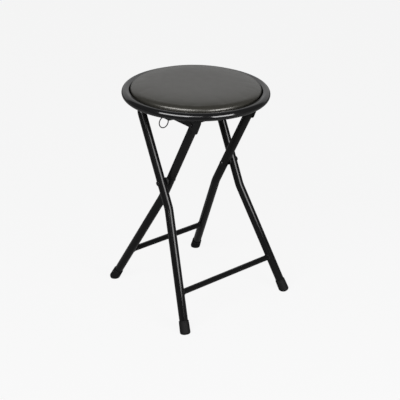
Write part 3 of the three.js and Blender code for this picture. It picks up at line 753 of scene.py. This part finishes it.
class STOOL_OT_rim(bpy.types.Operator):
    """Pressed rim round the pad"""

    bl_idname = "stool.rim"
    bl_label = "Rim"

    def execute(self, context):
        stool = context.scene.stool
        grid = on_seat(stool.frames, turned(rim_section(stool.seat), 224))
        piece = grid_piece("rim_ring", grid, close_rows=True, crease=50)
        fit(piece, "seat", "rim_gloss", "gloss_rim", "seat_rim")
        grid = on_seat(stool.frames, turned(seal_section(stool.seat), 160))
        piece = grid_piece("groove_seal", grid, close_rows=True)
        fit(piece, "seat", "foot_rubber", "black_rubber")
        return {"FINISHED"}


def pad_radius(seat):
    """The pad's radius, inside the groove."""
    return seat.radius - seat.rim_width - seat.groove


def crown_height(share, crown):
    """Rise of the pad over its edge: crown (1 - s^6)^0.5, s being the share of the radius."""
    return crown * (1 - np.clip(share, 0, 1) ** 6) ** 0.5


def pad_profile(seat, crown):
    """Half of the pad in section: a flat underside, a side drawn in at the board, and the crown."""
    radius, drawn_in = pad_radius(seat), ((0.0022, 0), (0.0008, 0.0012))
    bottom, edge = seat.board_top + seat.gap, seat.gap + seat.pad_side
    side = [[radius - inset, bottom + rise] for inset, rise in drawn_in]
    share = np.cos(np.linspace(0, np.pi / 2, 41))
    share[-1] = 0
    top = np.stack([radius * share, edge + crown_height(share, crown)], axis=-1)
    return np.array([[0, bottom], *side, *top])


def on_shoulder(seat, crown, points, width=0.006):
    """Carries the points near the pad's edge onto its exact section. Over the edge a point keeps
    its angle a about the shoulder's middle m and takes the section's own distance d(a): m + d (cos
    a, sin a). The share of the way grows from 0 to 1 over the shoulder's width before its middle."""
    radius, edge, over_board = pad_radius(seat), seat.gap + seat.pad_side, 0.003
    x, y, z = points.T
    middle, away = radius - width, np.hypot(x, y)
    section = pad_profile(seat, crown)[3:] - [middle, edge]
    angles, distances = np.arctan2(section[:, 1], section[:, 0]), np.hypot(*section.T)
    angle = np.arctan2(z - edge, away - middle)
    out, up = polar(np.interp(angle, angles, distances), angle)
    share = np.clip((away - middle + width) / width, 0, 1) * (z > edge)
    side = (z <= edge) & (z > seat.board_top + over_board)
    flat = np.where(side, radius, away + share * (middle + out - away))
    scale = flat / np.maximum(away, 1e-9)
    return xyz(x * scale, y * scale, z + share * (edge + up - z))


def seal_section(seat):
    """The seal in the groove, in section: a flat strip with a rounded top between rim and cover."""
    low, high, into_cover, off_rim = 0.0015, 0.004, 0.001, 0.0001
    inner, outer = pad_radius(seat) - into_cover, seat.radius - seat.rim_width - off_rim
    rounded = arc(((inner + outer) / 2, high), (outer - inner) / 2, 0, 180, 10)
    return [[outer, low], [outer, high], *rounded, [inner, low]]


def modified(piece, kind, **settings):
    """Adds a modifier with its settings and applies it to the piece's mesh."""
    set_all(piece.modifiers.new(kind.lower(), kind), **settings)
    depsgraph = bpy.context.evaluated_depsgraph_get()
    mesh = bpy.data.meshes.new_from_object(piece.evaluated_get(depsgraph), depsgraph=depsgraph)
    piece.modifiers.clear()
    piece.data = mesh


def places(mesh):
    """The vertices' places as an array."""
    out = np.empty(len(mesh.vertices) * 3, np.float32)
    mesh.vertices.foreach_get("co", out)
    return out.reshape(-1, 3).astype(float)


def set_places(mesh, points):
    """Moves the vertices to the given places."""
    mesh.vertices.foreach_set("co", np.asarray(points, np.float32).ravel())
    mesh.update()


def puff(piece, held, pressure, most, share, steps=20):
    """Blows the cloth up from inside for some steps and takes a share of the way that each point
    has gone, or of the most that is allowed. The held points stay."""
    start = places(piece.data)
    piece.vertex_groups.new(name="held").add(np.flatnonzero(held).tolist(), 1, "REPLACE")
    cloth = piece.modifiers.new("cloth", "CLOTH")
    set_all(
        cloth.settings,
        quality=6,
        mass=0.25,
        tension_stiffness=22,
        compression_stiffness=22,
        shear_stiffness=12,
        bending_stiffness=0.35,
        use_pressure=True,
        uniform_pressure_force=pressure,
        vertex_group_mass="held",
    )
    cloth.settings.effector_weights.gravity = 0
    set_all(cloth.point_cache, frame_start=1, frame_end=steps)
    for step in range(1, steps + 1):
        bpy.context.scene.frame_set(step)
    swollen = piece.evaluated_get(bpy.context.evaluated_depsgraph_get())
    move = places(swollen.to_mesh()) - start
    swollen.to_mesh_clear()
    piece.modifiers.remove(cloth)
    bpy.context.scene.frame_set(1)
    far = np.linalg.norm(move, axis=1, keepdims=True)
    set_places(piece.data, start + share * move * np.minimum(1, most / np.maximum(far, 1e-9)))
    piece.vertex_groups.clear()


class STOOL_OT_pad(bpy.types.Operator):
    """Padded top of the seat"""

    bl_idname = "stool.pad"
    bl_label = "Pad"

    def execute(self, context):
        seat = context.scene.stool.seat
        radius, edge = pad_radius(seat), seat.gap + seat.pad_side
        # The cloth starts lower by what the pressure adds
        swelling = 0.002
        crown = seat.pad_crown - swelling
        piece = grid_piece("seat_pad", turned(pad_profile(seat, crown), 192), crease=180)
        modified(piece, "REMESH", mode="VOXEL", voxel_size=seat.voxel)
        points = places(piece.data)
        away, over_edge = np.hypot(points[:, 0], points[:, 1]), points[:, 2] - edge
        # The remesh leaves steps, so the crown and its shoulder are laid smooth again
        top = (over_edge > 0.0015) & (away < 0.985 * radius)
        points[top, 2] = edge + crown_height(away[top] / radius, crown)
        points = on_shoulder(seat, crown, points)
        set_places(piece.data, points)
        # Underside, side and outermost ring don't swell
        held = (points[:, 2] < edge + 0.001) | (away > 0.992 * radius)
        puff(piece, held, pressure=4, most=0.006, share=0.15)
        modified(piece, "SUBSURF", levels=1, render_levels=1)
        set_places(piece.data, on_shoulder(seat, crown, places(piece.data)))
        set_places(piece.data, on_seat(context.scene.stool.frames, places(piece.data)))
        piece.data.shade_smooth()
        fit(piece, "seat", "seat_vinyl", "black_vinyl", "seat_cover", "seat_foam")
        return {"FINISHED"}


def skirt_radius(seat):
    """The radius of the cover's skirt down the board's edge."""
    return pad_radius(seat) - 0.0012


def hem_grid(seat, columns=480, skin=0.0008, bend=0.0012):
    """The cover's skirt down the board's edge and its hem turned in below. The hem's free edge
    waves in and its face lifts with each pleat: r - w p and z + h p, p being a peaked cosine."""
    radius, low, high = skirt_radius(seat), seat.gap, seat.board_top
    flat_from, wave, drift, lift = 0.0015, 0.0014, 0.0007, 0.00022
    angle = around(columns)
    pleat = np.clip(np.cos(40 * angle + 1.3 * np.sin(3 * angle)), 0, 1) ** 3
    flat = [[r, low] for r in np.linspace(radius - 0.002, radius - seat.hem, 8)]
    turn = arc((radius - bend, low + bend), bend, 0, -90, 6)
    outside = np.array([[radius, high], [radius, (low + high) / 2], *turn, *flat])
    r, z = outside[::-1].T
    inside = np.stack([np.minimum(r, radius - skin), np.maximum(z + skin, low + skin)], axis=-1)
    r, z = np.concatenate([outside, inside]).T[..., None]
    share = np.clip((radius - flat_from - r) / seat.hem, 0, 1)
    r = r - wave * share * pleat + drift * share * np.sin(17 * angle)
    return xyz(*polar(r, angle), z + lift * share * pleat)


def staple_grids(seat):
    """Staples across the hem, a little unevenly placed and turned: a wire whose crown is 8 mm long
    with its two ends turned up."""
    radius = skirt_radius(seat) - 0.62 * seat.hem
    wire_radius, unevenness, twist = 0.00028, 0.35, 0.3
    reach = np.array([-0.0040, -0.0040, -0.0036, 0.0036, 0.0040, 0.0040])
    rise = np.array([0.0009, 0.0001, -0.0002, -0.0002, 0.0001, 0.0009])
    grids = []
    for i in range(seat.staples):
        turn = (2 * math.pi * (i + 0.5) + unevenness * math.sin(2.1 * i)) / seat.staples
        along = np.array([*polar(1, turn + math.pi / 2 + twist * math.sin(3.7 * i)), 0])
        middle = np.array([*polar(radius, turn), seat.gap])
        points = middle + reach[:, None] * along + rise[:, None] * [0, 0, 1]
        headings = unit(np.gradient(points, axis=0))
        grids.append(wire(points, headings, np.cross(along, [0, 0, 1.0]), wire_radius, 8))
    return grids


class STOOL_OT_underside(bpy.types.Operator):
    """Turned-in hem of the cover with its staples, and the board"""

    bl_idname = "stool.underside"
    bl_label = "Hem and board"

    def execute(self, context):
        sizes, seat = context.scene.stool.frames, context.scene.stool.seat
        piece = grid_piece("cover_hem", on_seat(sizes, hem_grid(seat)), close_rows=True, crease=60)
        fit(piece, "seat", "seat_vinyl", "black_vinyl")
        staples = [on_seat(sizes, grid) for grid in staple_grids(seat)]
        piece = grid_piece("hem_staples", *staples)
        fit(piece, "seat", "spring_wire", "spring_steel")
        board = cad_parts["seat_board"]
        board.data.materials.clear()
        board.data.materials.append(finish_of("pressed_board"))
        return {"FINISHED"}


def eased_copy(node, name, width, corner=None):
    """A copy of a sheet-metal solid with its flat faces made whole and its edges eased. A corner,
    given as a place seen along Y and a width, is rounded off first."""
    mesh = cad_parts[node].data.copy()
    mesh.name = name
    piece = linked(name, mesh)
    tidy = bmesh.new()
    tidy.from_mesh(mesh)
    bmesh.ops.remove_doubles(tidy, verts=tidy.verts, dist=2e-6)
    bmesh.ops.dissolve_limit(
        tidy, angle_limit=math.radians(0.6), verts=tidy.verts, edges=tidy.edges, delimit={"NORMAL"}
    )
    if corner:
        (x, _, z), reach = corner
        at_corner = {v for v in tidy.verts if math.hypot(v.co.x - x, v.co.z - z) < 0.0005}
        across = [edge for edge in tidy.edges if set(edge.verts) <= at_corner]
        bmesh.ops.bevel(tidy, geom=across, offset=reach, segments=5, profile=0.5, affect="EDGES")
    bmesh.ops.recalc_face_normals(tidy, faces=tidy.faces)
    tidy.to_mesh(mesh)
    tidy.free()
    modified(
        piece, "BEVEL", width=width, segments=2, limit_method="ANGLE", angle_limit=math.radians(40)
    )
    piece.data.shade_smooth()
    piece.data.set_sharp_from_angle(angle=math.radians(25))
    return piece


def screw_grid(radius, height, segments=48):
    """A pan head seen from below: a dome with a cross recess. The dome falls as (1 - s^2.6)^0.6,
    and the recess is sunk where either |x| or |y| is under the slot's half width."""
    share = np.concatenate([np.linspace(0, 0.62, 26), np.linspace(0.62, 1, 12)[1:]])[:, None]
    x, y = polar(radius * share, around(segments))
    dome = height * (1 - share**2.6) ** 0.6
    slot, reach = 0.14 * radius, 0.6 * radius
    narrow = np.minimum(np.abs(x), np.abs(y))
    sunk = 1 / (1 + np.exp((narrow - slot) / (0.03 * radius)))
    sunk = sunk / (1 + np.exp((np.hypot(x, y) - reach) / (0.04 * radius)))
    top = xyz(x, y, 0.55 * height * sunk - dome)
    return np.concatenate([top, np.zeros((1, segments, 3))])


class STOOL_OT_rails(bpy.types.Operator):
    """Rails under the seat and their screws"""

    bl_idname = "stool.rails"
    bl_label = "Rails and screws"

    def execute(self, context):
        sizes = context.scene.stool.frames
        # The lowest corner of a rail's ear, from the hinge, and the width that is rounded off
        toe_ahead, toe_drop, toe_round = 0.0175, 0.033, 0.006
        toe = on_seat(sizes, [hinge_place(sizes) + toe_ahead, 0, -toe_drop])
        head_radius, head_height = 0.0032, 0.0018
        head = on_seat(sizes, screw_grid(head_radius, head_height)) - on_seat(sizes, np.zeros(3))
        for word in SIDES:
            rail = f"seat_rail_{word}"
            piece = eased_copy(rail, f"seat_rail_pressing_{word}", 0.0004, (toe, toe_round))
            fit(piece, "seat", "tube_paint", "painted_steel", rail)
            for i in (1, 2, 3):
                node = f"rail_screw_{word}_{i}"
                low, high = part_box(node)
                place = [(low.x + high.x) / 2, (low.y + high.y) / 2, low.z + head_height]
                piece = grid_piece(f"{node}_head", head + place)
                fit(piece, "seat", "dark_zinc", "dark_zinc", node)
        return {"FINISHED"}


def coil_path(start, end, radius, coils=10, run=0.0009, turn_in=0.003, steps=1400):
    """Wire between two lugs: x grows by cos t and the angle by sin t / r for each step along it. The
    tilt t rises from 0 at the lug to the coil's own and falls back to 0 at the other lug. With the
    points go the headings and the ways out from the coil's axis, square to the headings."""
    slope = math.atan2(2 * math.pi * radius * coils, end - start)
    total = (end - start) / math.cos(slope)
    s = np.linspace(0, total, steps)
    edge = np.minimum(s, total - s)
    tilt = slope * np.clip((edge - run) / turn_in, 0, 1)
    step = s[1] - s[0]
    x = np.concatenate([[0], np.cumsum(np.cos(tilt[1:]) * step)])
    angle = np.concatenate([[0], np.cumsum(np.sin(tilt[1:]) * step / radius)])
    x = start + x * (end - start) / x[-1]
    points = xyz(x, *polar(radius, angle))
    headings, out = unit(np.gradient(points, axis=0)), points * [0, 1, 1]
    return points, headings, unit(out - headings * np.sum(out * headings, axis=1, keepdims=True))


def pin_profile(half, radius, shank=0.002, head=0.0014, ease=0.0004):
    """Half of a headed pin in section: radius against place along Y, with eased edges."""
    under, chamfer = half - head, 0.0001
    shaft = [[0, -half], [shank - chamfer, -half], [shank, chamfer - half], [shank, under]]
    return [*shaft, [radius - ease, under], *eased(radius, under, half, ease, 4), [0, half]]


class STOOL_OT_latch(bpy.types.Operator):
    """Sprung hook with its pins, spring and pull ring"""

    bl_idname = "stool.latch"
    bl_label = "Latch"

    def execute(self, context):
        piece = eased_copy("latch_hook", "latch_plate", 0.0003)
        fit(piece, "latch", "tube_paint", "painted_steel", "latch_hook")
        for i in (1, 2):
            node = f"latch_pin_{i}"
            middle, half = measured(node)
            grid = along_y(turned(pin_profile(half[1], half[0]), 40), middle)
            fit(grid_piece(f"{node}_head", grid), "seat", "dark_zinc", "dark_zinc", node)
        self.spring(context.scene.stool.frames)
        middle, (radius, _, reach) = measured("pull_ring")
        out, across = polar(radius, around(16)[None, :])
        ring = xyz(across, *polar(reach - radius + out, around(160)[:, None]))
        piece = grid_piece("pull_ring_wire", ring + np.array(middle), close_rows=True)
        fit(piece, "ring", "dark_zinc", "dark_zinc", "pull_ring")
        return {"FINISHED"}

    @staticmethod
    def spring(sizes):
        """The spring lies along X between two lugs, built as it rests. The latch's slide, which
        presses it together towards its first end, is not applied to it here."""
        start, end, y, z = 0.00502, 0.02842, -0.0768, -0.0085
        coil_radius, wire_radius, slide = 0.0026, 0.00045, 0.008
        spring = wire(*coil_path(start, end, coil_radius), wire_radius, 12) + [0, y, z]
        piece = grid_piece("latch_spring_wire", on_seat(sizes, spring))
        fit(piece, "seat", "spring_wire", "spring_steel", "latch_spring")
        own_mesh(piece)


def combined(tree, operation, one, other):
    """Two values multiplied, or the larger of them."""
    return shader_node(tree, "Math", {0: one, 1: other}, operation=operation).outputs[0]


def seen(tree, ray, share):
    """The given share where a ray is of that kind, and 0 elsewhere."""
    return combined(tree, "MULTIPLY", shader_node(tree, "LightPath").outputs[ray], share)


def seen_direct(tree, share):
    """The given share where the camera looks straight on or through, and 0 elsewhere."""
    rays = (seen(tree, f"Is {kind} Ray", share) for kind in ("Camera", "Transmission"))
    return combined(tree, "MAXIMUM", *rays)


def mixed(tree, output, share, one, other):
    """Joins a mix of two shaders to the output."""
    mix = shader_node(tree, "MixShader", {0: share, 1: one.outputs[0], 2: other.outputs[0]})
    shader_node(tree, output, {"Surface": mix.outputs[0]})


def grey(tone):
    """A grey colour."""
    return (tone, tone, tone, 1)


def stand_up(name, data, place, right, up, back):
    """Links a lamp or camera that looks along minus `back`, with `up` as its upper side."""
    made, axes = linked(name, data), np.stack([right, up, back], axis=1)
    made.matrix_world = Matrix.Translation(place) @ Matrix(axes.tolist()).to_4x4()
    return made


# Soft lamps: place, aim, size and power in watts
LAMPS = {
    "right_window": ((1.83, 0.03, 0.85), (0, 0, 0.5), (1.05, 0.9), 42),
    "left_window": ((0.58, -1.77, 1.6), (0, 0, 0.44), (1.75, 1.0), 68),
    "front_fill": ((1.37, -1.27, 1.6), (0, 0, 0.44), (0.9, 0.7), 8),
}


class STOOL_OT_stage(bpy.types.Operator):
    """Floor, lamps, background and camera"""

    bl_idname = "stool.stage"
    bl_label = "Stage"

    def execute(self, context):
        scene, stage = context.scene, context.scene.stool.stage
        turn = math.radians(stage.azimuth)
        right = np.array([math.cos(turn), math.sin(turn), 0])
        front = np.array([math.sin(turn), -math.cos(turn), 0])
        self.floor(stage, right, front)
        self.world(scene, stage, -front)
        for name, (place, aim, (width, height), power) in LAMPS.items():
            data = bpy.data.lights.new(name, "AREA")
            set_all(data, shape="RECTANGLE", size=width, size_y=height, energy=power)
            back = unit(np.subtract(place, aim))
            across = unit(np.cross([0, 0, 1.0], back))
            stand_up(name, data, place, across, np.cross(back, across), back)
        self.camera(scene, stage, right, front)
        scene.view_settings.view_transform = "Standard"
        return {"FINISHED"}

    @staticmethod
    def floor(stage, right, front):
        """A wide sheet of paper that ends a little in front of the stool. The camera sees it near
        white with a soft shadow, and a reflection sees it darker."""
        half_width, near, far = 12, 0.5, -24
        plan = ((-half_width, near), (-half_width, far), (half_width, far), (half_width, near))
        mesh = bpy.data.meshes.new("floor")
        mesh.from_pydata([tuple(x * right + y * front) for x, y in plan], [], [(0, 1, 2, 3)])
        material = bpy.data.materials.new("floor_paper")
        tree = cleared(material)
        share = combined(tree, "MAXIMUM", seen_direct(tree, 0.86), seen(tree, "Is Glossy Ray", 0.06))
        paper = shader_node(tree, "BsdfDiffuse", {"Color": grey(0.2)})
        glow = shader_node(tree, "Emission", {"Color": grey(stage.background), "Strength": 1.14})
        mixed(tree, "OutputMaterial", share, paper, glow)
        mesh.materials.append(material)
        linked("floor", mesh)

    @staticmethod
    def world(scene, stage, away):
        """A dim room with a white backdrop behind the stool. The camera sees white all round. In a
        reflection the backdrop fades out as the cosine between the view and the way off the camera
        falls from 0.64 to 0.5, and the room takes over. It is dimmer near the floor."""
        scene.world = bpy.data.worlds.new("studio")
        tree = cleared(scene.world)
        view = shader_node(tree, "TexCoord").outputs["Object"]
        cosine = shader_node(tree, "VectorMath", {0: view, 1: tuple(away)}, operation="DOT_PRODUCT")
        fade = {"Value": cosine.outputs["Value"], "From Min": 0.5, "From Max": 0.64}
        behind = shader_node(tree, "MapRange", fade, interpolation_type="SMOOTHSTEP")
        rise = shader_node(tree, "SeparateXYZ", {0: view}).outputs["Z"]
        dimming = {"Value": rise, "From Min": 0.05, "From Max": 0.65, "To Min": 0.52}
        upper = shader_node(tree, "MapRange", dimming)
        mirrored = combined(tree, "MULTIPLY", behind.outputs["Result"], upper.outputs["Result"])
        mirrored = combined(tree, "MULTIPLY", mirrored, seen(tree, "Is Glossy Ray", 1))
        share = combined(tree, "MAXIMUM", seen_direct(tree, 1), mirrored)
        room = shader_node(tree, "Background", {"Color": grey(0.15)})
        white = shader_node(tree, "Background", {"Color": grey(stage.background)})
        mixed(tree, "OutputWorld", share, room, white)

    @staticmethod
    def camera(scene, stage, right, front):
        """The camera looks at its aim from (sin a cos e, -cos a cos e, sin e) times the distance."""
        e, roll = math.radians(stage.elevation), math.radians(stage.roll)
        back = front * math.cos(e) + [0, 0, math.sin(e)]
        up = np.cross(back, right)
        place = stage.aim_shift * right + [0, 0, stage.aim_height] + back * stage.distance
        data = bpy.data.cameras.new("camera")
        set_all(data, lens=stage.lens, sensor_width=36, sensor_fit="HORIZONTAL")
        set_all(data, clip_start=0.05, clip_end=100)
        rolled_right = math.cos(roll) * right + math.sin(roll) * up
        rolled_up = math.cos(roll) * up - math.sin(roll) * right
        scene.camera = stand_up("camera", data, place, rolled_right, rolled_up, back)


class STOOL_PT_panel(bpy.types.Panel):
    """Buttons that build the stool's pieces, and their settings"""

    bl_idname = "STOOL_PT_panel"
    bl_label = "Folding stool"
    bl_space_type = "VIEW_3D"
    bl_region_type = "UI"
    bl_category = "Stool"

    def draw(self, context):
        for operator in OPERATORS:
            self.layout.operator(operator.bl_idname)
        for group in ("frames", "feet", "seat", "finishes", "stage"):
            box = self.layout.box()
            box.label(text=group.capitalize())
            settings = getattr(context.scene.stool, group)
            for name in settings.__annotations__:
                box.prop(settings, name)


OPERATORS = (
    STOOL_OT_stage,
    STOOL_OT_legs,
    STOOL_OT_cross_tubes,
    STOOL_OT_feet,
    STOOL_OT_rivets,
    STOOL_OT_rim,
    STOOL_OT_pad,
    STOOL_OT_underside,
    STOOL_OT_rails,
    STOOL_OT_latch,
)
GROUPS = (
    StoolFrameSizes,
    StoolFootSizes,
    StoolSeatSizes,
    StoolFinishes,
    StoolStage,
    StoolSettings,
)


def register():
    for kind in (*GROUPS, *OPERATORS, STOOL_PT_panel):
        bpy.utils.register_class(kind)
    bpy.types.Scene.stool = PointerProperty(type=StoolSettings)


def unregister():
    del bpy.types.Scene.stool
    for kind in (STOOL_PT_panel, *reversed(OPERATORS), *reversed(GROUPS)):
        bpy.utils.unregister_class(kind)


def main():
    """Builds every piece."""
    register()
    for operator in OPERATORS:
        group, name = operator.bl_idname.split(".")
        getattr(getattr(bpy.ops, group), name)()


if __name__ == "__main__":
    main()
